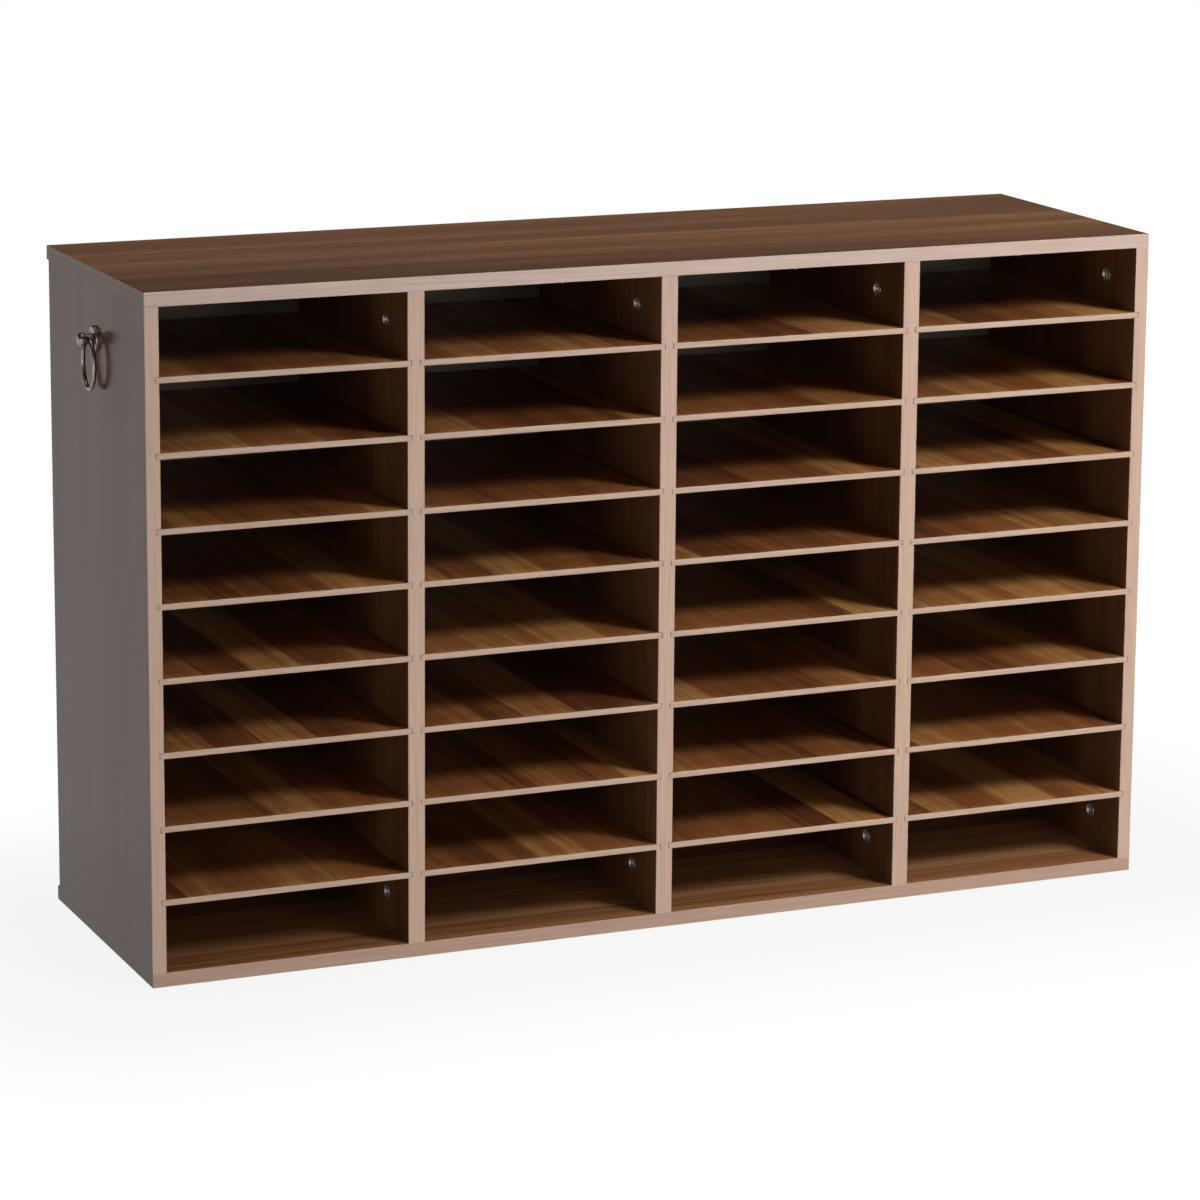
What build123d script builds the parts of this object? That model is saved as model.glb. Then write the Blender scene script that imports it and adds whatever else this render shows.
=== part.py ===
from build123d import *
import os
from dataclasses import dataclass
from math import atan2, degrees, sqrt

# Literature organizer: an open case of thirty-six compartments for loose sheets, in four columns.
# Top and bottom run over the full width. Sides and dividers stand between them on cam fittings and
# dowels, thin shelves slide into grooves in these uprights, and each side carries a ring pull.
# Millimetres. The front faces -Y, Z is up, and the origin is on the floor under the middle of the case.

# Case
case_width = 1000.0
case_depth = 298.0
case_height = 630.0
panel_thickness = 13.0
divider_thickness = 16.0
column_count = 4
row_count = 9

# Edging strips on the front edges
band_thickness = 1.0
band_round = 0.4

# Shelves and the grooves that hold them
shelf_thickness = 5.4
groove_depth = 4.0
groove_play = 0.3
shelf_end_play = 0.5
shelf_rear_play = 1.5

# Back board, set in behind the uprights and between top and bottom
back_thickness = 3.0
back_recess = 3.0
back_side_inset = 4.0
back_end_play = 0.5

# Cam locks and their bolts
cam_radius = 7.5
cam_depth = 10.0
cam_bolt_depth = 6.5
cam_reach = 34.0
cam_setback = 57.0
cam_mouth_radius = 3.8
cam_rim_chamfer = 0.4
cam_dish_radius = 6.7
cam_dish_floor_radius = 5.2
cam_dish_depth = 1.2
cam_slot_length = 8.0
cam_slot_width = 1.6
cam_slot_depth = 1.0
bolt_radius = 3.0
bolt_neck_radius = 2.0
bolt_head_radius = 3.5
bolt_head_length = 4.0
bolt_grip = 9.5

# Wooden dowels
dowel_radius = 3.0
dowel_grip = 8.0
dowel_tail = 20.0
dowel_chamfer = 0.8
dowel_setback = 105.0

# Screws of the back board
screw_radius = 1.25
screw_length = 15.0
screw_head_radius = 3.0
screw_head_height = 1.8
screw_slot_length = 3.4
screw_slot_width = 0.8
screw_slot_depth = 0.9
screw_hole_radius = 1.6
screw_margin = 45.0
screw_rows = 4

# Ring pulls, measured outwards from the face of the side
pull_drop = 63.5
rosette_radius = 12.0
rosette_height = 3.2
rosette_floor = 1.6
rosette_rim = 2.6
rosette_round = 1.5
rosette_floor_radius = 7.0
post_radius = 5.0
cap_radius = 6.25
cap_start = 10.6
cap_end = 17.0
cap_round = 4.0
cap_under_round = 1.0
eye_height = 6.8
eye_play = 0.35
ring_half_width = 17.5
ring_half_height = 22.5
ring_end_share = 0.86
ring_wire_radius = 2.0
spigot_radius = 2.0
spigot_length = 10.0

# Play round a peg in its hole, and how far a cut runs past the face it opens
fit_play = 0.1
overrun = 1.0

# Planes and lengths that follow from the sizes above
front_y = -case_depth / 2
rear_y = case_depth / 2
board_front_y = front_y + band_thickness
upright_rear_y = rear_y - back_recess - back_thickness
upright_foot = panel_thickness
upright_head = case_height - panel_thickness
upright_height = upright_head - upright_foot
divider_count = column_count - 1
open_width = case_width - 2 * panel_thickness - divider_count * divider_thickness
column_width = open_width / column_count
row_height = (upright_height - (row_count - 1) * shelf_thickness) / row_count
row_pitch = row_height + shelf_thickness
shelf_levels = [upright_foot + row * row_pitch - shelf_thickness for row in range(1, row_count)]
groove_height = shelf_thickness + groove_play
cam_rows = (front_y + cam_setback, upright_rear_y - cam_setback)
dowel_rows = (front_y + dowel_setback, upright_rear_y - dowel_setback)
pull_y = (front_y + upright_rear_y) / 2
ring_end_radius = ring_half_width * ring_end_share
ring_end_reach = ring_half_height - ring_end_radius
ring_side_radius = (ring_half_width**2 + ring_end_reach**2 - ring_end_radius**2) / (
    2 * (ring_half_width - ring_end_radius)
)
ring_side_reach = ring_side_radius - ring_half_width
ring_side_turn = degrees(atan2(ring_end_reach, ring_side_reach))
ring_end_turn = 90 - ring_side_turn
ring_bow = ring_end_radius - sqrt(ring_end_radius**2 - post_radius**2)
pull_z = case_height - pull_drop

os.makedirs("parts", exist_ok=True)


@dataclass
class Upright:
    """A standing board: its faces in X, which of them are grooved, and where its cam locks look out."""

    name: str
    left_x: float
    thickness: float
    grooved_x: tuple
    cam_x: float
    cam_way: int

    @property
    def middle_x(self):
        return self.left_x + self.thickness / 2


def column_left(column):
    """X of the left wall of a column, counted from 0 at the left side."""
    return -case_width / 2 + panel_thickness + column * (column_width + divider_thickness)


def make_uprights():
    """Left side, dividers and right side, in order. Only the left side's cam locks look to the right."""
    inner_left = column_left(0)
    inner_right = -inner_left
    boards = [Upright("left_side", -case_width / 2, panel_thickness, (inner_left,), inner_left, 1)]
    for number in range(1, column_count):
        right_x = column_left(number)
        left_x = right_x - divider_thickness
        boards.append(
            Upright(f"divider_{number}", left_x, divider_thickness, (left_x, right_x), left_x, -1)
        )
    boards.append(Upright("right_side", inner_right, panel_thickness, (inner_right,), inner_right, -1))
    return boards


uprights = make_uprights()
ends = {"top": (upright_head, 1), "bottom": (upright_foot, -1)}


def cam_planes(board, end):
    """Planes on the faces of a board's cam locks at one end, with local Y towards the panel."""
    joint_z, way = ends[end]
    return [
        Plane(
            origin=(board.cam_x, y, joint_z - way * cam_reach),
            x_dir=(0, way * board.cam_way, 0),
            z_dir=(board.cam_way, 0, 0),
        )
        for y in cam_rows
    ]


def bolt_planes(board, end):
    """Planes on the joint between a board and a panel, at the cam bolts, with local Z into the panel."""
    joint_z, way = ends[end]
    bolt_x = board.cam_x - board.cam_way * cam_bolt_depth
    return [Plane(origin=(bolt_x, y, joint_z), z_dir=(0, 0, way)) for y in cam_rows]


def dowel_planes(board, end):
    """Planes on the same joint at the dowels, with local Z into the panel."""
    joint_z, way = ends[end]
    return [Plane(origin=(board.middle_x, y, joint_z), z_dir=(0, 0, way)) for y in dowel_rows]


def screw_planes(board):
    """Planes on the rear face of the back board at a board's screws, with local Z to the rear."""
    first_z = upright_foot + screw_margin
    step_z = (upright_height - 2 * screw_margin) / (screw_rows - 1)
    rear = upright_rear_y + back_thickness
    return [
        Plane(origin=(board.middle_x, rear, first_z + row * step_z), z_dir=(0, 1, 0))
        for row in range(screw_rows)
    ]


def pull_plane(way):
    """Plane on the outer face of a side at its ring pull: local Z points outwards and local Y down."""
    return Plane(origin=(way * case_width / 2, pull_y, pull_z), x_dir=(0, -way, 0), z_dir=(way, 0, 0))


def every_end(planes):
    """The planes of all boards at both ends, from a function of a board and an end."""
    return [plane for board in uprights for end in ends for plane in planes(board, end)]


def save(part, name):
    """Labels a finished piece and writes it."""
    part.label = name
    export_step(part, f"parts/{name}.step")


# Top and bottom: full boards with blind holes for bolts and dowels, and an edging strip each
def make_panel(end):
    joint_z, way = ends[end]
    board_depth = rear_y - board_front_y
    with BuildPart() as panel:
        with BuildSketch(Plane.XY.offset(joint_z)):
            with Locations((0, (rear_y + board_front_y) / 2)):
                Rectangle(case_width, board_depth)
        extrude(amount=way * panel_thickness)
        with BuildSketch(*[plane for board in uprights for plane in bolt_planes(board, end)]):
            Circle(bolt_radius + fit_play)
        extrude(amount=bolt_grip + fit_play, mode=Mode.SUBTRACT)
        with BuildSketch(*[plane for board in uprights for plane in dowel_planes(board, end)]):
            Circle(dowel_radius + fit_play)
        extrude(amount=dowel_grip + fit_play, mode=Mode.SUBTRACT)
    save(panel.part, f"{end}_panel")


def make_panel_edging(end):
    joint_z, way = ends[end]
    with BuildPart() as edging:
        with BuildSketch(Plane.XZ.offset(-board_front_y)):
            with Locations((0, joint_z + way * panel_thickness / 2)):
                Rectangle(case_width, panel_thickness)
        extrude(amount=band_thickness)
        fillet(edging.edges().group_by(Axis.Y)[0], band_round)
    save(edging.part, f"{end}_edging")


for end in ends:
    make_panel(end)
    make_panel_edging(end)


# Sides and dividers: one front elevation, notched by the shelf grooves, makes both board and edging
def upright_elevation(board, plane):
    notches = [(x, level + groove_height / 2) for x in board.grooved_x for level in shelf_levels]
    with BuildSketch(plane) as elevation:
        with Locations((board.middle_x, (upright_foot + upright_head) / 2)):
            Rectangle(board.thickness, upright_height)
        with Locations(*notches):
            Rectangle(2 * groove_depth, groove_height, mode=Mode.SUBTRACT)
    return elevation.sketch


def make_upright(board):
    with BuildPart() as standing:
        extrude(
            upright_elevation(board, Plane.XZ.offset(-upright_rear_y)),
            amount=upright_rear_y - board_front_y,
        )
        for end in ends:
            with BuildSketch(*cam_planes(board, end)):
                Circle(cam_radius + fit_play)
            extrude(amount=-cam_depth - fit_play, mode=Mode.SUBTRACT)
            with BuildSketch(*bolt_planes(board, end)):
                Circle(cam_mouth_radius)
            extrude(amount=-cam_reach, mode=Mode.SUBTRACT)
            with BuildSketch(*dowel_planes(board, end)):
                Circle(dowel_radius + fit_play)
            extrude(amount=-dowel_tail - fit_play, mode=Mode.SUBTRACT)
        with BuildSketch(*screw_planes(board)):
            Circle(screw_radius + fit_play)
        extrude(amount=-screw_length - fit_play, mode=Mode.SUBTRACT)
        if board.name.endswith("side"):
            with BuildSketch(pull_plane(1 if board.middle_x > 0 else -1)):
                Circle(spigot_radius + fit_play)
            extrude(amount=-spigot_length - fit_play, mode=Mode.SUBTRACT)
    save(standing.part, board.name)


def make_upright_edging(board):
    with BuildPart() as edging:
        extrude(upright_elevation(board, Plane.XZ.offset(-board_front_y)), amount=band_thickness)
        fillet(edging.edges().filter_by(Axis.Z).group_by(Axis.Y)[0], band_round)
    save(edging.part, f"{board.name}_edging")


for board in uprights:
    make_upright(board)
    make_upright_edging(board)


# Shelves: thin boards with rounded front edges, lying on the lower faces of their grooves
def make_shelf(column, row):
    length = column_width + 2 * (groove_depth - shelf_end_play)
    shelf_rear_y = upright_rear_y - shelf_rear_play
    with BuildPart() as shelf:
        with BuildSketch(Plane.XY.offset(shelf_levels[row - 1])):
            with Locations((column_left(column - 1) + column_width / 2, (front_y + shelf_rear_y) / 2)):
                Rectangle(length, shelf_rear_y - front_y)
        extrude(amount=shelf_thickness)
        fillet(shelf.edges().filter_by(Axis.X).group_by(Axis.Y)[0], band_round)
    save(shelf.part, f"shelf_column{column}_level{row}")


for column in range(1, column_count + 1):
    for row in range(1, row_count):
        make_shelf(column, row)

# Back board, with a clearance hole for each of its screws
with BuildPart() as back_board:
    with BuildSketch(Plane.XZ.offset(-upright_rear_y)):
        with Locations((0, case_height / 2)):
            Rectangle(case_width - 2 * back_side_inset, upright_height - 2 * back_end_play)
    extrude(amount=-back_thickness)
    with BuildSketch(*[plane for board in uprights for plane in screw_planes(board)]):
        Circle(screw_hole_radius)
    extrude(amount=-back_thickness, mode=Mode.SUBTRACT)
save(back_board.part, "back_board")

# One screw of the back board: a pan head with a crossed slot on a plain shank, along Z from its seat
with BuildPart() as back_screw:
    with BuildSketch():
        Circle(screw_head_radius)
    extrude(amount=screw_head_height)
    fillet(back_screw.edges().sort_by(Axis.Z)[-1], screw_head_height / 2)
    with BuildSketch():
        Circle(screw_radius)
    extrude(amount=-screw_length)
    with BuildSketch(Plane.XY.offset(screw_head_height)):
        Rectangle(screw_slot_length, screw_slot_width)
        Rectangle(screw_slot_width, screw_slot_length)
    extrude(amount=-screw_slot_depth, mode=Mode.SUBTRACT)

with BuildPart() as back_screws:
    with Locations(*[plane.location for board in uprights for plane in screw_planes(board)]):
        add(back_screw.part)
save(back_screws.part, "back_screws")

# One cam lock: a zinc disc with a dished face, a mouth for the bolt's head and a crossed slot
with BuildPart() as cam_lock:
    with BuildSketch(Plane.XZ):
        with BuildLine():
            Polyline(
                (0, -cam_dish_depth),
                (cam_dish_floor_radius, -cam_dish_depth),
                (cam_dish_radius, 0),
                (cam_radius - cam_rim_chamfer, 0),
                (cam_radius, -cam_rim_chamfer),
                (cam_radius, -cam_depth),
                (0, -cam_depth),
                close=True,
            )
        make_face()
    revolve(axis=Axis.Z)
    with BuildSketch(Plane.XZ.offset(bolt_head_length)):
        with Locations((0, -cam_bolt_depth)):
            Circle(cam_mouth_radius)
    extrude(amount=-bolt_head_length - cam_radius - overrun, mode=Mode.SUBTRACT)
    with BuildSketch(Plane.XY.offset(-cam_dish_depth)):
        Rectangle(cam_slot_length, cam_slot_width)
        Rectangle(cam_slot_width, cam_slot_length)
    extrude(amount=-cam_slot_depth, mode=Mode.SUBTRACT)

with BuildPart() as cam_locks:
    with Locations(*[plane.location for plane in every_end(cam_planes)]):
        add(cam_lock.part)
save(cam_locks.part, "cam_locks")

# One cam bolt: thread in the panel, shank down the upright, neck and head in the cam lock's mouth
with BuildPart() as cam_bolt:
    with BuildSketch(Plane.XZ):
        with BuildLine():
            Polyline(
                (0, bolt_grip),
                (bolt_radius, bolt_grip),
                (bolt_radius, cam_radius - cam_reach),
                (bolt_neck_radius, cam_radius - cam_reach),
                (bolt_neck_radius, bolt_head_length / 2 - cam_reach),
                (bolt_head_radius, bolt_head_length / 2 - cam_reach),
                (bolt_head_radius, -bolt_head_length / 2 - cam_reach),
                (0, -bolt_head_length / 2 - cam_reach),
                close=True,
            )
        make_face()
    revolve(axis=Axis.Z)

with BuildPart() as cam_bolts:
    with Locations(*[plane.location for plane in every_end(bolt_planes)]):
        add(cam_bolt.part)
save(cam_bolts.part, "cam_bolts")

# One dowel: a round peg with chamfered ends, from the upright into the panel
with BuildPart() as dowel:
    with BuildSketch(Plane.XY.offset(-dowel_tail)):
        Circle(dowel_radius)
    extrude(amount=dowel_tail + dowel_grip)
    chamfer(dowel.edges().filter_by(GeomType.CIRCLE), dowel_chamfer)

with BuildPart() as dowels:
    with Locations(*[plane.location for plane in every_end(dowel_planes)]):
        add(dowel.part)
save(dowels.part, "dowels")

# Rosette of a ring pull: a dished plate with a rounded rim, clamped under the post
with BuildPart() as rosette:
    with BuildSketch(Plane.XZ) as rosette_profile:
        with BuildLine():
            Polyline(
                (spigot_radius + fit_play, 0),
                (rosette_radius, 0),
                (rosette_radius, rosette_height),
                (rosette_radius - rosette_rim, rosette_height),
                (rosette_floor_radius, rosette_floor),
                (spigot_radius + fit_play, rosette_floor),
                close=True,
            )
        make_face()
        fillet(rosette_profile.vertices().group_by(Axis.X)[-1].sort_by(Axis.Y)[-1], rosette_round)
    revolve(axis=Axis.Z)

# Post of a ring pull: a screw spigot, a round neck with an eye across it, and a rounded cap
with BuildPart() as post:
    with BuildSketch(Plane.XZ) as post_profile:
        with BuildLine():
            Polyline(
                (0, -spigot_length),
                (spigot_radius, -spigot_length),
                (spigot_radius, rosette_floor),
                (post_radius, rosette_floor),
                (post_radius, cap_start),
                (cap_radius, cap_start),
                (cap_radius, cap_end),
                (0, cap_end),
                close=True,
            )
        make_face()
        fillet(post_profile.vertices().group_by(Axis.X)[-1].sort_by(Axis.Y)[0], cap_under_round)
        fillet(post_profile.vertices().sort_by(Axis.Y)[-2:].sort_by(Axis.X)[-1], cap_round)
    revolve(axis=Axis.Z)
    with BuildSketch(Plane.YZ):
        with Locations((0, eye_height)):
            Circle(ring_wire_radius + ring_bow + eye_play)
    extrude(amount=post_radius + overrun, both=True, mode=Mode.SUBTRACT)

# Ring of a ring pull: a round wire bent to an oval of four arcs, through the eye and below the post
with BuildPart() as ring:
    with BuildLine(Plane.XY.offset(eye_height)) as ring_path:
        for way in (-1, 1):
            end_middle = (0, ring_half_height + way * ring_end_reach)
            side_middle = (-way * ring_side_reach, ring_half_height)
            side_facing = 90 - way * 90
            CenterArc(end_middle, ring_end_radius, way * 90 - ring_end_turn, 2 * ring_end_turn)
            CenterArc(side_middle, ring_side_radius, side_facing - ring_side_turn, 2 * ring_side_turn)
    with BuildSketch(Plane(ring_path.wire() ^ 0)):
        Circle(ring_wire_radius)
    sweep(path=ring_path.wire())

for side_name, way in (("left", -1), ("right", 1)):
    for piece_name, piece in (("rosette", rosette), ("post", post), ("ring", ring)):
        with BuildPart() as placed:
            with Locations(pull_plane(way).location):
                add(piece.part)
        save(placed.part, f"{side_name}_pull_{piece_name}")
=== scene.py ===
# %% [markdown]
# # A literature organizer with thirty-six pockets
# The real object is a flat-pack case: boards with a walnut print, tan edging along every front edge,
# thin shelves that slide in grooves, a dark hardboard back, cam fittings inside and a ring pull on each
# side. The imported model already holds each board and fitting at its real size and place. This lesson
# adds what the solids can't hold: the printed grain, the sheen, the tarnish of the metal, light and a
# camera.

# %% Load the frame
import math
import bpy
import numpy as np
from mathutils import Matrix, Vector


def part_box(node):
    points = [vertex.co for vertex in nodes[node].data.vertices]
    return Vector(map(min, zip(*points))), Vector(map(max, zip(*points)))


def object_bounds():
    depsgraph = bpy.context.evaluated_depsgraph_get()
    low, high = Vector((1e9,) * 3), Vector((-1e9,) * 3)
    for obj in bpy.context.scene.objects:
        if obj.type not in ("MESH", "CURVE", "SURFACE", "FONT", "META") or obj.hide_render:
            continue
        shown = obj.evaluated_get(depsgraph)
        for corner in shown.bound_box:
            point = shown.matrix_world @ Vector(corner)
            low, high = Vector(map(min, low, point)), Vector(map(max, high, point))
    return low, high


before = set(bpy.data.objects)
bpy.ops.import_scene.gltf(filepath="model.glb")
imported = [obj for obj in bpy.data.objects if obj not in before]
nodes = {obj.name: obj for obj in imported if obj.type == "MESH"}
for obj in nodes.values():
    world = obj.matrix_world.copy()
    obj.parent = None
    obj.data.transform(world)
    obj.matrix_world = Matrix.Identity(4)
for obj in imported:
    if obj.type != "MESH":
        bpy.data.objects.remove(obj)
cad_low, cad_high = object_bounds()
MM = 0.001
scene = bpy.context.scene
scene.view_settings.view_transform = "Standard"

# %% [markdown]
# ## The camera
# The photograph was taken with a long lens from the left, a little above the case. A camera can be set
# by eye, but then every comparison is a few pixels out. Here the place, the three turns and the focal
# length were solved from the corners of the case, whose real sizes are known, and written down rounded.

# %% Camera
IMAGE_SIDE = 1200
FOCAL_PIXELS = 4471.7
AXIS_PIXEL = (600.0, 480.0)
SENSOR_MM = 36.0
CAMERA_PLACE = (-1.6510, -3.8225, 1.2493)
CAMERA_YAW, CAMERA_PITCH, CAMERA_ROLL = 23.31, -11.54, 0.41

camera_data = bpy.data.cameras.new("camera")
camera_data.sensor_width = SENSOR_MM
camera_data.lens = FOCAL_PIXELS / IMAGE_SIDE * SENSOR_MM
camera_data.shift_x = 0.5 - AXIS_PIXEL[0] / IMAGE_SIDE
camera_data.shift_y = AXIS_PIXEL[1] / IMAGE_SIDE - 0.5
camera = bpy.data.objects.new("camera", camera_data)
turn = Matrix.Rotation(math.radians(-CAMERA_YAW), 4, "Z")
tilt = Matrix.Rotation(math.radians(90 + CAMERA_PITCH), 4, "X")
roll = Matrix.Rotation(math.radians(CAMERA_ROLL), 4, "Z")
camera.matrix_world = Matrix.Translation(CAMERA_PLACE) @ turn @ tilt @ roll
scene.collection.objects.link(camera)
scene.camera = camera
print("camera: lens", round(camera_data.lens, 1), "mm, shift",
      round(camera_data.shift_x, 3), round(camera_data.shift_y, 3))

# %% [markdown]
# ## Small helpers for shader nodes
# A material in Blender is a graph of nodes. Written out one call at a time, such a graph is hard to
# read, so a few helpers do the repeated work: one adds a node and fills its inputs, and the others are
# short words for sums, soft thresholds, mixes of two colours and noise.

# %% Node helpers
def place(tree, kind, inputs=(), **settings):
    """Adds a node, sets its settings, and gives each named input a value or a link."""
    node = tree.nodes.new(kind)
    for name, value in settings.items():
        setattr(node, name, value)
    for name, value in dict(inputs).items():
        if isinstance(value, bpy.types.NodeSocket):
            tree.links.new(value, node.inputs[name])
        else:
            node.inputs[name].default_value = value
    return node


def sum_of(tree, operation, first, second=0.0):
    """One step of arithmetic on two values."""
    return place(tree, "ShaderNodeMath", {0: first, 1: second}, operation=operation).outputs[0]


def vector_of(tree, operation, first, second):
    """One step of arithmetic on two vectors."""
    return place(tree, "ShaderNodeVectorMath", {0: first, 1: second}, operation=operation).outputs[0]


def axis_of(tree, vector, axis):
    """One coordinate of a vector."""
    return place(tree, "ShaderNodeSeparateXYZ", {0: vector}).outputs[axis]


def rise(tree, value, low, high, start=0.0, end=1.0):
    """A soft step: start below low, end above high, and an S-shaped rise between them."""
    inputs = {"Value": value, "From Min": low, "From Max": high, "To Min": start, "To Max": end}
    return place(tree, "ShaderNodeMapRange", inputs, interpolation_type="SMOOTHSTEP").outputs[0]


def blended(tree, share, first, second):
    """Two colours mixed by a share of the second."""
    return place(tree, "ShaderNodeMix", {0: share, 6: first, 7: second}, data_type="RGBA").outputs[2]


def noise(tree, vector, scale=1.0, detail=2.0, roughness=0.5):
    """Cloudy noise from 0 to 1 in three dimensions."""
    inputs = {"Vector": vector, "Scale": scale, "Detail": detail, "Roughness": roughness}
    return place(tree, "ShaderNodeTexNoise", inputs).outputs[0]


def drawn_noise(tree, vector, lengths, detail=2.0, roughness=0.5):
    """Noise whose clouds have a length of their own along each axis."""
    return noise(tree, vector_of(tree, "DIVIDE", vector, lengths), detail=detail, roughness=roughness)


print("helpers: ready")

# %% [markdown]
# ## Helpers for groups and materials
# A print that several materials share is a node group, which has named sockets like a node of its own.
# Every material starts in the same way, with one shader and the position on the piece, so that is a
# helper too, and so is the fine relief that a Bump node gives.

# %% Group and material helpers
SOCKETS = {"vector": "NodeSocketVector", "value": "NodeSocketFloat", "colour": "NodeSocketColor"}


def new_group(name, inputs, outputs):
    """An empty node group with named sockets: its tree, what comes in and what goes out."""
    tree = bpy.data.node_groups.new(name, "ShaderNodeTree")
    for label, kind in inputs.items():
        tree.interface.new_socket(label, in_out="INPUT", socket_type=SOCKETS[kind])
    for label, kind in outputs.items():
        tree.interface.new_socket(label, in_out="OUTPUT", socket_type=SOCKETS[kind])
    return tree, tree.nodes.new("NodeGroupInput").outputs, tree.nodes.new("NodeGroupOutput").inputs


def use_group(tree, group, inputs):
    """Places a group in a material, fills its inputs and gives its outputs."""
    return place(tree, "ShaderNodeGroup", inputs, node_tree=group).outputs


def new_material(name):
    """A material with a Principled shader, and the pieces of it that the cells below need."""
    material = bpy.data.materials.new(name)
    material.use_nodes = True
    tree = material.node_tree
    shader = tree.nodes["Principled BSDF"]
    position = tree.nodes.new("ShaderNodeTexCoord").outputs["Object"]
    return material, tree, shader, position


def bump(tree, shader, height, relief):
    """A Bump node on the shader's normal. The relief is its distance and its strength."""
    distance, strength = relief
    inputs = {"Height": height, "Distance": distance, "Strength": strength}
    tree.links.new(place(tree, "ShaderNodeBump", inputs).outputs[0], shader.inputs["Normal"])


print("group sockets:", ", ".join(SOCKETS))

# %% [markdown]
# ## Walnut print
# The boards carry a printed walnut pattern under a clear satin film. A photograph of wood could be
# mapped on, but then each board would need its own picture. A pattern worked out from the position is
# better here: it never repeats, and each board shows another part of it. The print has five layers:
# planks of different tone, slow bands that wander, fine streaks, faint rings, and pores as short dark
# dashes. Planks and rings follow one another across the grain, and the rest is noise drawn out along it,
# so the group expects the grain along its first axis.

# %% Walnut group
LAYER = 0.025
LAYER_JUMP = 7.3
DRIFT_LENGTHS, DRIFT = (0.9, 0.2, LAYER), 0.05
BAND_LENGTH = 1.6
STREAK_LENGTHS = (0.3, 0.009, LAYER)
SWIRL_LENGTHS, SWIRL_TURNS = (0.55, 0.07, LAYER), 7.0
RING_PITCH = 0.012
PORE_LENGTHS = (0.014, 0.0006, 0.001)
BAND_LIMITS, STREAK_LIMITS, RING_LIMITS, PORE_LIMITS = (0.28, 0.72), (0.3, 0.7), (-0.6, 1.0), (0.58, 0.72)
PLANK_WEIGHT, STREAK_WEIGHT, RING_WEIGHT, PORE_WEIGHT = 0.72, 0.20, 0.08, 0.35
MIDDLE_LIMITS, LIGHT_LIMITS = (0.12, 0.5), (0.46, 0.86)
STREAK_RELIEF = 0.4


def wandering(tree, position):
    """The position, moved across the grain by a slow noise."""
    slow = drawn_noise(tree, position, DRIFT_LENGTHS, detail=1.0)
    drift = sum_of(tree, "MULTIPLY", sum_of(tree, "SUBTRACT", slow, 0.5), DRIFT)
    aside = place(tree, "ShaderNodeCombineXYZ", {"Y": drift}).outputs[0]
    return vector_of(tree, "ADD", position, aside)


def plank_tones(tree, position, plank):
    """A random tone for each stripe about as wide as a plank. The stripes shift along the third axis,
    so boards side by side or one above the other show different ones."""
    layer = sum_of(tree, "MULTIPLY", axis_of(tree, position, "Z"), LAYER_JUMP / LAYER)
    stripe = sum_of(tree, "ADD", sum_of(tree, "DIVIDE", axis_of(tree, position, "Y"), plank), layer)
    cells = place(tree, "ShaderNodeTexVoronoi", {"W": stripe, "Scale": 1.0}, voronoi_dimensions="1D")
    return place(tree, "ShaderNodeSeparateColor", {0: cells.outputs["Color"]}).outputs[0]


def ring_tones(tree, grain):
    """Rings = sine of the place across the grain, in pitches, plus turns of a slow swirl."""
    swirl = drawn_noise(tree, grain, SWIRL_LENGTHS)
    turns = sum_of(tree, "ADD", sum_of(tree, "DIVIDE", axis_of(tree, grain, "Y"), RING_PITCH),
                   sum_of(tree, "MULTIPLY", swirl, SWIRL_TURNS))
    wave = sum_of(tree, "SINE", sum_of(tree, "MULTIPLY", turns, math.tau))
    return rise(tree, wave, *RING_LIMITS)


def make_walnut_group():
    """Tone = a mix of planks and bands + streaks + rings, each with its weight.
    The colour runs from dark over middle to light with the tone, and pores darken it."""
    tree, given, made = new_group(
        "walnut_print",
        {"Position": "vector", "Plank": "value", "Plank Share": "value",
         "Dark": "colour", "Middle": "colour", "Light": "colour"},
        {"Color": "colour", "Tone": "value", "Height": "value"})
    position, plank = given["Position"], given["Plank"]
    grain = wandering(tree, position)
    band_size = place(tree, "ShaderNodeCombineXYZ", {"X": BAND_LENGTH, "Y": plank, "Z": LAYER}).outputs[0]
    bands = rise(tree, drawn_noise(tree, grain, band_size, detail=1.5), *BAND_LIMITS)
    streaks = drawn_noise(tree, grain, STREAK_LENGTHS, detail=3.0, roughness=0.55)
    streaks = rise(tree, streaks, *STREAK_LIMITS)
    pores = rise(tree, drawn_noise(tree, position, PORE_LENGTHS, detail=1.0), *PORE_LIMITS)

    planks = plank_tones(tree, position, plank)
    tone = place(tree, "ShaderNodeMix", {0: given["Plank Share"], 2: bands, 3: planks}).outputs[0]
    tone = sum_of(tree, "MULTIPLY", tone, PLANK_WEIGHT)
    tone = sum_of(tree, "ADD", tone, sum_of(tree, "MULTIPLY", streaks, STREAK_WEIGHT))
    tone = sum_of(tree, "ADD", tone, sum_of(tree, "MULTIPLY", ring_tones(tree, grain), RING_WEIGHT))

    colour = blended(tree, rise(tree, tone, *MIDDLE_LIMITS), given["Dark"], given["Middle"])
    colour = blended(tree, rise(tree, tone, *LIGHT_LIMITS), colour, given["Light"])
    colour = blended(tree, sum_of(tree, "MULTIPLY", pores, PORE_WEIGHT), colour, given["Dark"])
    raised = sum_of(tree, "MULTIPLY", streaks, STREAK_RELIEF)
    tree.links.new(colour, made["Color"])
    tree.links.new(tone, made["Tone"])
    tree.links.new(sum_of(tree, "SUBTRACT", raised, pores), made["Height"])
    return tree


walnut_print = make_walnut_group()
print("walnut_print:", len(walnut_print.nodes), "nodes")

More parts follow.
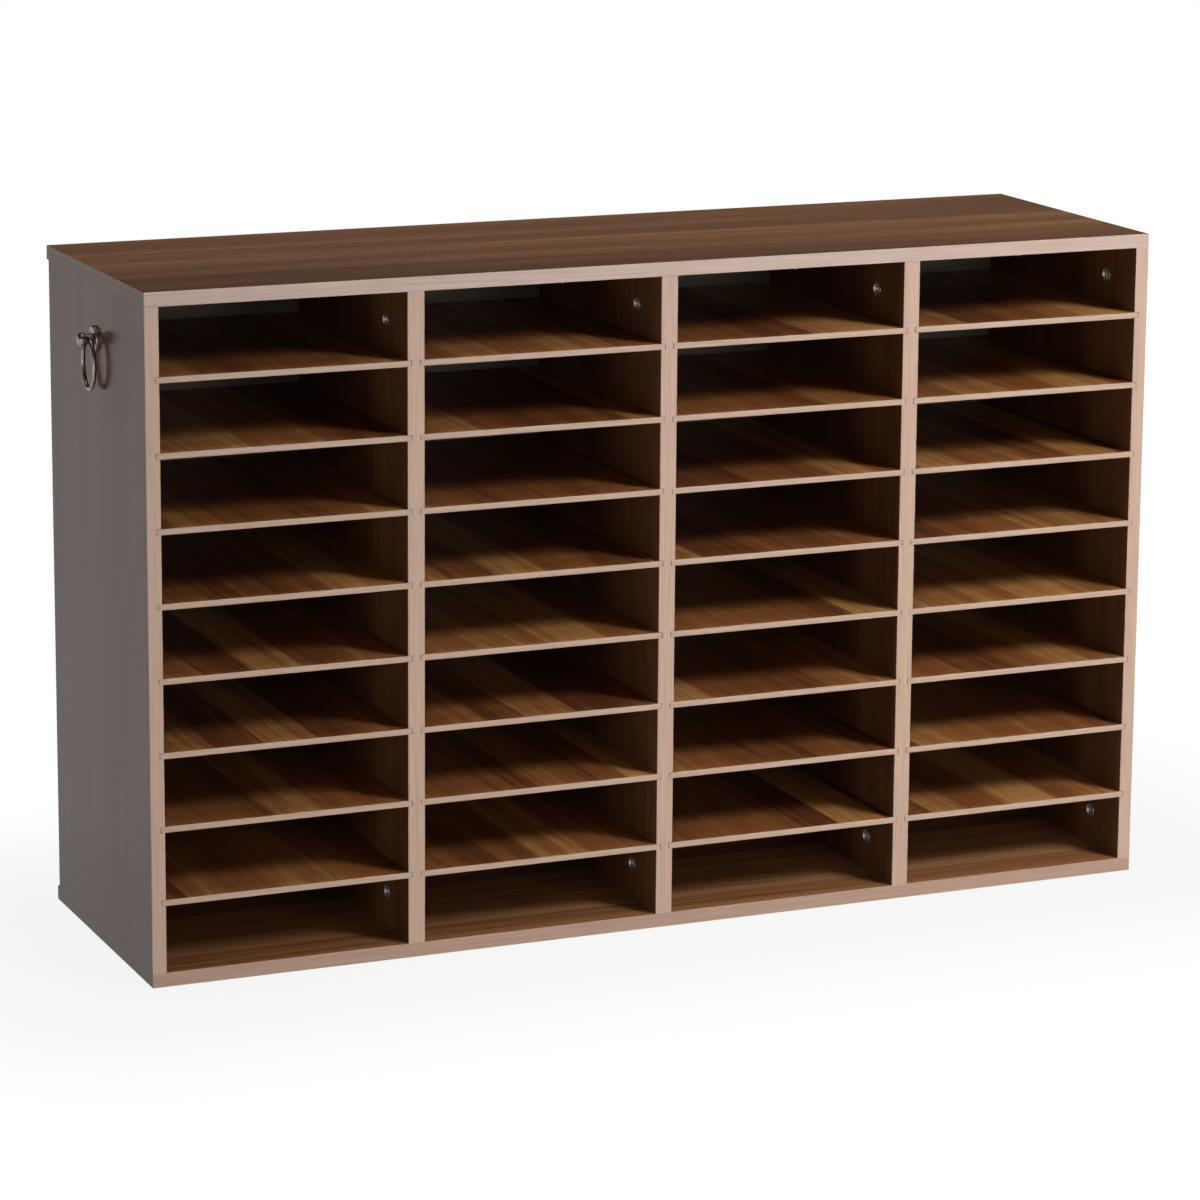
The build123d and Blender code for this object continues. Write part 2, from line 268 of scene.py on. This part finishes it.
# %% [markdown]
# ## Edging and the core of the boards
# Every front edge has a tan strip of plastic, printed with faint lines along its length, and where the
# walnut film is cut, in the grooves and at the shelves' ends, the pressed chips of the board show. Both
# are used by more than one material, so each is a group of its own.

# %% Edging group and core group
LINE_LENGTHS, LINE_LIMITS = (0.09, 0.0016, 0.0016), (0.3, 0.7)
CLOUD_SCALE, CLOUD_SHARE = 9.0, 0.3
CHIP_LENGTHS = (0.0022, 0.0011, 0.0011)
CHIP_DARK, CHIP_PALE = (0.16, 0.095, 0.05, 1.0), (0.40, 0.27, 0.16, 1.0)


def make_edging_group():
    """Tan with faint lines, which are noise drawn out along the first axis, and a pale cloud over them."""
    tree, given, made = new_group(
        "edging_print",
        {"Position": "vector", "Dark": "colour", "Pale": "colour", "Cloud": "colour"},
        {"Color": "colour", "Height": "value"})
    position = given["Position"]
    lines = drawn_noise(tree, position, LINE_LENGTHS, detail=3.0, roughness=0.6)
    lines = rise(tree, lines, *LINE_LIMITS)
    cloud = noise(tree, position, scale=CLOUD_SCALE, detail=1.0)
    colour = blended(tree, lines, given["Dark"], given["Pale"])
    colour = blended(tree, sum_of(tree, "MULTIPLY", cloud, CLOUD_SHARE), colour, given["Cloud"])
    tree.links.new(colour, made["Color"])
    tree.links.new(lines, made["Height"])
    return tree


def make_core_group():
    """Pressed chips: cells of random tone, about 2 mm long and 1 mm wide."""
    tree, given, made = new_group("chip_core", {"Position": "vector"}, {"Color": "colour"})
    small = vector_of(tree, "DIVIDE", given["Position"], CHIP_LENGTHS)
    chips = place(tree, "ShaderNodeTexVoronoi", {"Vector": small, "Scale": 1.0})
    tone = place(tree, "ShaderNodeSeparateColor", {0: chips.outputs["Color"]}).outputs[0]
    tree.links.new(blended(tree, tone, CHIP_DARK, CHIP_PALE), made["Color"])
    return tree


edging_print = make_edging_group()
chip_core = make_core_group()
print("edging_print and chip_core:", len(edging_print.nodes), "and", len(chip_core.nodes), "nodes")

# %% [markdown]
# ## Walnut on the top and the bottom
# The grain runs along the top and the bottom, up the sides and dividers, and from front to back on the
# shelves. One helper lays the print on all of them: a Mapping node turns the position so that the grain
# lies along the group's first axis. The film over the print is clear, so its gloss is the shader's own.
# The two panels come first. Their ends are cut across the grain and covered with a strip of the film that
# the uprights have, so the direction in which a face looks chooses between the two prints.

# %% Walnut on the panels
ALONG_X = (0.0, 0.0, 0.0)
ALONG_Y = (0.0, 0.0, math.radians(-90))
ALONG_Z = (0.0, math.radians(90), 0.0)
TOP_TONES = ((0.088, 0.033, 0.012, 1.0), (0.160, 0.067, 0.027, 1.0), (0.262, 0.124, 0.052, 1.0))
BOTTOM_TONES = ((0.150, 0.060, 0.022, 1.0), (0.285, 0.125, 0.050, 1.0), (0.420, 0.215, 0.095, 1.0))
UPRIGHT_TONES = ((0.105, 0.042, 0.017, 1.0), (0.145, 0.061, 0.026, 1.0), (0.190, 0.085, 0.036, 1.0))
PANEL_PLANKS, UPRIGHT_PLANKS = (0.06, 0.45), (0.07, 0.3)
PANEL_RELIEF = (0.03 * MM, 0.4)
FILM_ROUGH, FILM_GLOSS = (0.20, 0.15), 0.06
FACING = 0.5


def turned(tree, position, grain_turn):
    """The position turned so that the grain runs along the first axis."""
    return place(tree, "ShaderNodeMapping", {"Vector": position, "Rotation": grain_turn}).outputs[0]


def laid_walnut(tree, position, grain_turn, tones, planks):
    """The walnut print along one axis of the board. Planks are their width and their share of the tone."""
    dark, middle, light = tones
    plank, plank_share = planks
    return use_group(tree, walnut_print, {
        "Position": turned(tree, position, grain_turn), "Plank": plank, "Plank Share": plank_share,
        "Dark": dark, "Middle": middle, "Light": light})


def make_panel_walnut(name, tones):
    """Walnut film on a level panel, grain from left to right, with the uprights' film on its ends."""
    material, tree, shader, position = new_material(name)
    wood = laid_walnut(tree, position, ALONG_X, tones, PANEL_PLANKS)
    strip = laid_walnut(tree, position, ALONG_Y, UPRIGHT_TONES, UPRIGHT_PLANKS)
    normal = place(tree, "ShaderNodeNewGeometry").outputs["True Normal"]
    sideways = sum_of(tree, "ABSOLUTE", axis_of(tree, normal, "X"))
    end = sum_of(tree, "GREATER_THAN", sideways, FACING)
    tree.links.new(blended(tree, end, wood["Color"], strip["Color"]), shader.inputs["Base Color"])
    tree.links.new(rise(tree, wood["Tone"], 0.0, 1.0, *FILM_ROUGH), shader.inputs["Roughness"])
    shader.inputs["Specular IOR Level"].default_value = FILM_GLOSS
    bump(tree, shader, wood["Height"], PANEL_RELIEF)
    return material


top_walnut = make_panel_walnut("top_walnut", TOP_TONES)
bottom_walnut = make_panel_walnut("bottom_walnut", BOTTOM_TONES)
print("panels:", top_walnut.name, "and", bottom_walnut.name)

# %% [markdown]
# ## Walnut on the sides and dividers
# The uprights have film on their two large faces, and bare core in the grooves, holes and narrow edges.
# The faces could be picked one by one, but the position is enough: a point is on the film only where it
# lies within a film's thickness of the board's left or right face. The faces differ from board to board,
# so each upright has its own material.

# %% Walnut on the uprights
UPRIGHTS = ("left_side", "divider_1", "divider_2", "divider_3", "right_side")
FILM_THICKNESS = 0.3 * MM
CORE_ROUGH = 0.8
UPRIGHT_RELIEF = (0.02 * MM, 0.3)


def make_upright_walnut(name):
    """Walnut film on the two large faces of an upright, and bare core between them."""
    material, tree, shader, position = new_material(name + "_walnut")
    wood = laid_walnut(tree, position, ALONG_Z, UPRIGHT_TONES, UPRIGHT_PLANKS)
    core = use_group(tree, chip_core, {"Position": position})
    low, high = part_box(name)
    x = axis_of(tree, position, "X")
    past_left = sum_of(tree, "GREATER_THAN", x, low.x + FILM_THICKNESS)
    before_right = sum_of(tree, "LESS_THAN", x, high.x - FILM_THICKNESS)
    inside = sum_of(tree, "MULTIPLY", past_left, before_right)
    film_rough = rise(tree, wood["Tone"], 0.0, 1.0, *FILM_ROUGH)
    rough = sum_of(tree, "MAXIMUM", film_rough, sum_of(tree, "MULTIPLY", inside, CORE_ROUGH))
    tree.links.new(blended(tree, inside, wood["Color"], core["Color"]), shader.inputs["Base Color"])
    tree.links.new(rough, shader.inputs["Roughness"])
    shader.inputs["Specular IOR Level"].default_value = FILM_GLOSS
    bump(tree, shader, wood["Height"], UPRIGHT_RELIEF)
    return material


upright_walnut = {name: make_upright_walnut(name) for name in UPRIGHTS}
print("uprights:", len(upright_walnut), "materials")

# %% [markdown]
# ## Walnut on the shelves
# A shelf is one solid with its edging, so its material shows three finishes: tan where the position is
# within the edging's thickness of the front, bare core on the other cut edges, and walnut on the two
# faces. All shelves have their front in one plane, so one material serves for all of them. The position
# is the shelf's own, so the print goes along with a shelf that is drawn out.

# %% Walnut on the shelves
SHELF_TONES = ((0.115, 0.036, 0.013, 1.0), (0.272, 0.097, 0.029, 1.0), (0.495, 0.247, 0.078, 1.0))
SHELF_PLANKS = (0.05, 0.75)
SHELF_RELIEF = (0.04 * MM, 0.4)
SHELF_ROUGH, SHELF_GLOSS = (0.38, 0.30), 0.2
SHELF_STRIP = ((0.470, 0.325, 0.242, 1.0), (0.566, 0.403, 0.305, 1.0), (0.595, 0.447, 0.350, 1.0))
edging_low, edging_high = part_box("top_edging")
EDGING_THICKNESS = edging_high.y - edging_low.y


def strip_print(tree, position, tones):
    """The edging's print in one set of tones."""
    dark, pale, cloud = tones
    return use_group(tree, edging_print, {"Position": position, "Dark": dark, "Pale": pale, "Cloud": cloud})


def make_shelf_walnut():
    """Walnut film on a shelf: tan on its front edge, bare core at its ends and rear."""
    material, tree, shader, position = new_material("shelf_walnut")
    wood = laid_walnut(tree, position, ALONG_Y, SHELF_TONES, SHELF_PLANKS)
    edge = strip_print(tree, position, SHELF_STRIP)
    core = use_group(tree, chip_core, {"Position": position})
    in_front = sum_of(tree, "LESS_THAN", axis_of(tree, position, "Y"), cad_low.y + EDGING_THICKNESS)
    normal = place(tree, "ShaderNodeNewGeometry").outputs["True Normal"]
    upwards = sum_of(tree, "ABSOLUTE", axis_of(tree, normal, "Z"))
    cut = sum_of(tree, "LESS_THAN", upwards, FACING)
    colour = blended(tree, cut, wood["Color"], core["Color"])
    tree.links.new(blended(tree, in_front, colour, edge["Color"]), shader.inputs["Base Color"])
    tree.links.new(rise(tree, wood["Tone"], 0.0, 1.0, *SHELF_ROUGH), shader.inputs["Roughness"])
    shader.inputs["Specular IOR Level"].default_value = SHELF_GLOSS
    bump(tree, shader, wood["Height"], SHELF_RELIEF)
    return material


shelf_walnut = make_shelf_walnut()
print("shelves: their edging is", round(EDGING_THICKNESS / MM, 2), "mm thick")

# %% [markdown]
# ## Edging strips
# The strips are plain extruded plastic with a satin face. The lines of the print run along each strip,
# so the level strips and the upright ones need the position turned in different ways. The top strip is a
# little pinker than the others, and the bottom one is darker, which is painted shade on the same plastic.

# %% Edging materials
UPRIGHT_STRIP = ((0.490, 0.320, 0.236, 1.0), (0.590, 0.397, 0.298, 1.0), (0.620, 0.440, 0.342, 1.0))
TOP_STRIP = ((0.480, 0.336, 0.278, 1.0), (0.578, 0.418, 0.350, 1.0), (0.608, 0.464, 0.402, 1.0))
# The bottom strip is the same plastic as the others, given darker tones: painted shade.
SHADED_BOTTOM_STRIP = ((0.397, 0.246, 0.177, 1.0), (0.478, 0.306, 0.224, 1.0), (0.502, 0.339, 0.257, 1.0))
EDGING_ROUGH = (0.5, 0.42)
EDGING_RELIEF = (0.04 * MM, 0.4)


def make_edging(name, grain_turn, tones):
    """Tan edging with its lines along the strip."""
    material, tree, shader, position = new_material(name)
    edge = strip_print(tree, turned(tree, position, grain_turn), tones)
    tree.links.new(edge["Color"], shader.inputs["Base Color"])
    tree.links.new(rise(tree, edge["Height"], 0.0, 1.0, *EDGING_ROUGH), shader.inputs["Roughness"])
    bump(tree, shader, edge["Height"], EDGING_RELIEF)
    return material


top_edging = make_edging("top_edging", ALONG_X, TOP_STRIP)
# The bottom edging gets the darker tones, which are painted shade.
bottom_edging = make_edging("bottom_edging", ALONG_X, SHADED_BOTTOM_STRIP)
upright_edging = make_edging("upright_edging", ALONG_Z, UPRIGHT_STRIP)
print("edging:", top_edging.name, bottom_edging.name, upright_edging.name)

# %% [markdown]
# ## Hardboard and dowels
# The back is dark hardboard, matt and slightly fibrous, and the dowels are plain beech with short
# flecks. Both are noise on the position, in the size that the real fibres and flecks have.

# %% Hardboard and dowel materials
FIBRE_LENGTHS, FIBRE_LIMITS = (0.006, 0.002, 0.0014), (0.3, 0.7)
FIBRE_DARK, FIBRE_PALE = (0.092, 0.074, 0.062, 1.0), (0.165, 0.132, 0.110, 1.0)
BLOTCH_SCALE, BLOTCH_SHARE, BLOTCH_TONE = 14.0, 0.5, (0.118, 0.094, 0.079, 1.0)
HARDBOARD_ROUGH = (0.62, 0.75)
HARDBOARD_RELIEF = (0.2 * MM, 0.35)
FLECK_LENGTHS, FLECK_LIMITS, GLOSS_LIMITS = (0.0006, 0.0006, 0.006), (0.35, 0.65), (0.3, 0.7)
BEECH_DARK, BEECH_PALE = (0.50, 0.31, 0.16, 1.0), (0.66, 0.45, 0.26, 1.0)
BEECH_ROUGH = (0.6, 0.7)
BEECH_RELIEF = (0.1 * MM, 0.3)


def make_hardboard():
    """Dark pressed fibre: two noises, one of fibres and one of blotches."""
    material, tree, shader, position = new_material("dark_hardboard")
    fibres = drawn_noise(tree, position, FIBRE_LENGTHS, detail=4.0, roughness=0.7)
    blotch = noise(tree, position, scale=BLOTCH_SCALE)
    colour = blended(tree, rise(tree, fibres, *FIBRE_LIMITS), FIBRE_DARK, FIBRE_PALE)
    colour = blended(tree, sum_of(tree, "MULTIPLY", blotch, BLOTCH_SHARE), colour, BLOTCH_TONE)
    tree.links.new(colour, shader.inputs["Base Color"])
    tree.links.new(rise(tree, fibres, *FIBRE_LIMITS, *HARDBOARD_ROUGH), shader.inputs["Roughness"])
    bump(tree, shader, fibres, HARDBOARD_RELIEF)
    return material


def make_beech():
    """Pale wood with short flecks along the dowel."""
    material, tree, shader, position = new_material("beech")
    flecks = drawn_noise(tree, position, FLECK_LENGTHS)
    colour = blended(tree, rise(tree, flecks, *FLECK_LIMITS), BEECH_DARK, BEECH_PALE)
    tree.links.new(colour, shader.inputs["Base Color"])
    tree.links.new(rise(tree, flecks, *GLOSS_LIMITS, *BEECH_ROUGH), shader.inputs["Roughness"])
    bump(tree, shader, flecks, BEECH_RELIEF)
    return material


dark_hardboard = make_hardboard()
beech = make_beech()
print("wood inside:", dark_hardboard.name, "and", beech.name)

# %% [markdown]
# ## Metal
# The cams, bolts and screws are zinc plated, and the pulls are aged nickel, bright with brown spots. A
# plain metal would mirror the room evenly and look new, so a noise of the spots' real size makes both
# the colour and the gloss uneven.

# %% Metal materials
SPOT_LIMITS = (0.35, 0.68)
METAL_RELIEF = (0.03 * MM, 0.15)
ZINC_DULL, ZINC_BRIGHT, ZINC_SPOT = (0.62, 0.61, 0.59, 1.0), (0.84, 0.84, 0.83, 1.0), 4 * MM
ZINC_ROUGH = (0.38, 0.50)
NICKEL_DULL, NICKEL_BRIGHT, NICKEL_SPOT = (0.11, 0.095, 0.075, 1.0), (0.29, 0.26, 0.225, 1.0), 6 * MM
NICKEL_ROUGH = (0.28, 0.42)


def make_metal(name, dull, bright, spot, rough):
    """A metal whose tarnish is a noise: dull and rough in the spots, bright and smooth outside them."""
    material, tree, shader, position = new_material(name)
    spots = noise(tree, position, scale=1.0 / spot, detail=3.0, roughness=0.6)
    tarnish = rise(tree, spots, *SPOT_LIMITS)
    tree.links.new(blended(tree, tarnish, bright, dull), shader.inputs["Base Color"])
    tree.links.new(rise(tree, tarnish, 0.0, 1.0, *rough), shader.inputs["Roughness"])
    bump(tree, shader, tarnish, METAL_RELIEF)
    shader.inputs["Metallic"].default_value = 1.0
    return material


zinc_plate = make_metal("zinc_plate", ZINC_DULL, ZINC_BRIGHT, ZINC_SPOT, ZINC_ROUGH)
old_nickel = make_metal("old_nickel", NICKEL_DULL, NICKEL_BRIGHT, NICKEL_SPOT, NICKEL_ROUGH)
print("metal:", zinc_plate.name, "and", old_nickel.name)

# %% [markdown]
# ## Finishes onto the nodes
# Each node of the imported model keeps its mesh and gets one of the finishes, chosen by its name.

# %% Assign the finishes
NAMED_FINISHES = {
    "top_panel": top_walnut, "bottom_panel": bottom_walnut, "back_board": dark_hardboard,
    "top_edging": top_edging, "bottom_edging": bottom_edging, "dowels": beech,
    "cam_locks": zinc_plate, "cam_bolts": zinc_plate, "back_screws": zinc_plate,
    **upright_walnut, **{name + "_edging": upright_edging for name in UPRIGHTS}}


def finish_of(name):
    """The finish of a node, by a word in its name or by the whole name."""
    if name.startswith("shelf_"):
        return shelf_walnut
    if "_pull_" in name:
        return old_nickel
    return NAMED_FINISHES[name]


for name, node in nodes.items():
    node.data.materials.clear()
    node.data.materials.append(finish_of(name))
print("finishes:", sorted({finish_of(name).name for name in nodes}))

# %% [markdown]
# ## Floor
# The case stands on a white sweep. The floor is a plain pale surface that keeps the soft shadow beside
# the case. A white glow, seen only by the camera and in reflections, takes its place with the distance
# from the case, so the shadow stays and the rest of the background is even.

# %% Floor
FLOOR_REACH = 30.0
FLOOR_DROP = 0.5 * MM
FLOOR_TONE, FLOOR_ROUGH = (0.45, 0.45, 0.45, 1.0), 0.9
GLOW_NEAR_SHARE, GLOW_FAR_SHARE = 0.88, 1.0
SHADOW_REACH = 0.35


def camera_and_mirrors(tree, path):
    """1 for rays from the camera and from glossy or clear surfaces, 0 for the light that falls on things."""
    seen = sum_of(tree, "MAXIMUM", path["Is Camera Ray"], path["Is Glossy Ray"])
    return sum_of(tree, "MAXIMUM", seen, path["Is Transmission Ray"])


def away_from_case(tree, position):
    """Distance outside the case's box, seen from above: the length of what |x| and |y| exceed it by."""
    whole = place(tree, "ShaderNodeVectorMath", {0: position}, operation="ABSOLUTE").outputs[0]
    beyond = vector_of(tree, "SUBTRACT", whole, (cad_high.x, cad_high.y, 0.0))
    beyond = vector_of(tree, "MAXIMUM", beyond, (0.0, 0.0, 0.0))
    return place(tree, "ShaderNodeVectorMath", {0: beyond}, operation="LENGTH").outputs["Value"]


def make_floor_material():
    """Pale and matt, with a share of glow that rises with the distance from the case."""
    material, tree, shader, position = new_material("floor")
    shader.inputs["Base Color"].default_value = FLOOR_TONE
    shader.inputs["Roughness"].default_value = FLOOR_ROUGH
    shader.inputs["Specular IOR Level"].default_value = 0.0
    away = away_from_case(tree, position)
    share = rise(tree, away, 0.0, SHADOW_REACH, GLOW_NEAR_SHARE, GLOW_FAR_SHARE)
    seen = camera_and_mirrors(tree, tree.nodes.new("ShaderNodeLightPath").outputs)
    glow = place(tree, "ShaderNodeEmission", {"Strength": 1.0})
    both = place(tree, "ShaderNodeMixShader", {0: sum_of(tree, "MULTIPLY", seen, share),
                                               1: shader.outputs[0], 2: glow.outputs[0]})
    tree.links.new(both.outputs[0], tree.nodes["Material Output"].inputs["Surface"])
    return material


def make_floor():
    """A flat square under the case."""
    corner = np.array([(-1, -1), (1, -1), (1, 1), (-1, 1)]) * FLOOR_REACH
    points = np.column_stack([corner, np.full(len(corner), -FLOOR_DROP)])
    mesh = bpy.data.meshes.new("floor")
    mesh.from_pydata(points.tolist(), [], [range(len(corner))])
    mesh.materials.append(make_floor_material())
    floor = bpy.data.objects.new("floor", mesh)
    scene.collection.objects.link(floor)


make_floor()
print("floor:", 2 * FLOOR_REACH, "m square")

# %% [markdown]
# ## Light
# The main light is a soft box high in front and to the right. It throws the slanting patches onto the
# shelves, so its place was found from their outlines: a higher box gives shallower patches. A strip in
# front stands level with the upper shelves. It lights the edging and a little of the back, and only
# grazes the shelves. A weak box far to the left reaches the front part of the inner walls, another one
# beside the camera keeps the depth of the pockets from going black, and a large one overhead lights the
# top.

# %% Soft boxes
# Place, aim, width and height in metres, spread in degrees, and power in watts
SOFT_BOXES = {
    "key_light": ((1.60, -2.22, 2.25), (0.45, -0.15, 0.35), 0.9, 0.9, 60, 9.4),
    "strip_light": ((0.9, -3.2, 0.55), (0.0, -0.15, 0.30), 1.4, 0.2, 180, 17.0),
    "fill_light": ((-2.9, -1.35, 0.40), (-0.30, -0.15, 0.30), 0.8, 0.8, 180, 7.0),
    "front_light": ((-1.6, -3.7, 1.2), (0.0, 0.0, 0.30), 0.6, 0.6, 180, 10.0),
    "top_light": ((-0.1, 0.0, 3.0), (-0.1, 0.0, 0.63), 2.2, 2.2, 180, 43.0),
}


def soft_box(name, spot, aim, wide, high, spread, power):
    """A flat area light that faces its aim. A spread below 180 degrees is a grid on the box."""
    data = bpy.data.lights.new(name, "AREA")
    data.shape = "RECTANGLE"
    data.size = wide
    data.size_y = high
    data.spread = math.radians(spread)
    data.energy = power
    box = bpy.data.objects.new(name, data)
    away = Vector(spot) - Vector(aim)
    box.matrix_world = Matrix.Translation(spot) @ away.to_track_quat("Z", "Y").to_matrix().to_4x4()
    scene.collection.objects.link(box)


for name, settings in SOFT_BOXES.items():
    soft_box(name, *settings)
print("light:", ", ".join(SOFT_BOXES))

# %% [markdown]
# ## The room
# The background is white, but a white room would also light the case from all sides and wash out the
# pockets. So it is white all over for the camera only. It sheds a dim light, and in mirrors it is white
# from the level of the floor down, so the top shows its own colour while the side mirrors a white sweep.

# %% Room
ROOM_LEVEL = 0.06
HORIZON_STEP = 0.05


def make_world():
    """White for the camera. In mirrors it is white below the horizon and dim above it."""
    world = bpy.data.worlds.new("studio")
    world.use_nodes = True
    tree = world.node_tree
    way = tree.nodes.new("ShaderNodeTexCoord").outputs["Generated"]
    path = tree.nodes.new("ShaderNodeLightPath").outputs
    mirrored = rise(tree, axis_of(tree, way, "Z"), -HORIZON_STEP, HORIZON_STEP, 1.0, ROOM_LEVEL)
    shown = sum_of(tree, "MAXIMUM", mirrored, path["Is Camera Ray"])
    seen = camera_and_mirrors(tree, path)
    strength = place(tree, "ShaderNodeMix", {0: seen, 2: ROOM_LEVEL, 3: shown}).outputs[0]
    background = tree.nodes["Background"]
    background.inputs["Color"].default_value = (1.0, 1.0, 1.0, 1.0)
    tree.links.new(strength, background.inputs["Strength"])
    return world


scene.world = make_world()
print("room: level", ROOM_LEVEL)
